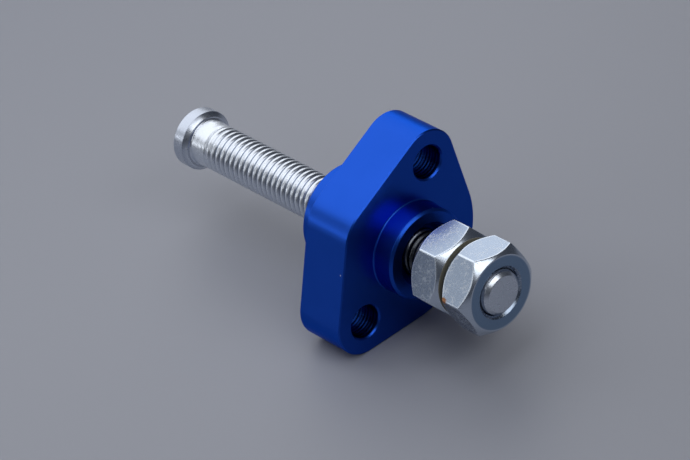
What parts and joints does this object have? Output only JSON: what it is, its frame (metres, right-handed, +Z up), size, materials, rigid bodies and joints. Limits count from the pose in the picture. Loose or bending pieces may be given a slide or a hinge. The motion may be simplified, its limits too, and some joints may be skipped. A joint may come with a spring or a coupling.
{
  "type": "manual cam chain tensioner",
  "caption": "Manual motorcycle cam chain tensioner: a blue flanged body bolts to the engine and a long headed bolt screws through it, held by a lock nut and turned by an end nut.",
  "frame": {"origin": "where the bolt's axis meets the flange's rear mounting face", "axes": "+Y along the bolt's axis towards the pusher head and the engine, nuts towards -Y; +Z up with one straight side of the flange facing down"},
  "size_m": [0.0384, 0.0948, 0.04],
  "materials": {
    "blue_anodised_aluminium": "satin blue anodised",
    "bolt_zinc": "bright zinc plate",
    "nut_zinc": "speckled zinc plate, burnished at the edges"
  },
  "bodies": {
    "housing": {"tensioner_body": "blue_anodised_aluminium"},
    "bolt": {"adjuster_bolt": "bolt_zinc"},
    "outer_nut": {"end_nut": "nut_zinc"},
    "inner_nut": {"lock_nut": "nut_zinc"}
  },
  "joints": [
    {"name": "bolt_feed", "type": "slide", "parent": "housing", "child": "bolt", "axis": [0, -1, 0], "range_m": [-0.0011, 0.04]},
    {"name": "end_nut_turn", "type": "hinge", "parent": "bolt", "child": "outer_nut", "pos_m": [0, -0.03455, 0], "axis": [0, -1, 0], "range_deg": [-266, 9602]},
    {"name": "lock_nut_run", "type": "slide", "parent": "housing", "child": "inner_nut", "axis": [0, -1, 0], "range_m": [-0.0041, 0]}
  ],
  "couplings": [
    {"joint": "end_nut_turn", "follows": "bolt_feed", "rad_per_m": 4188.8}
  ]
}
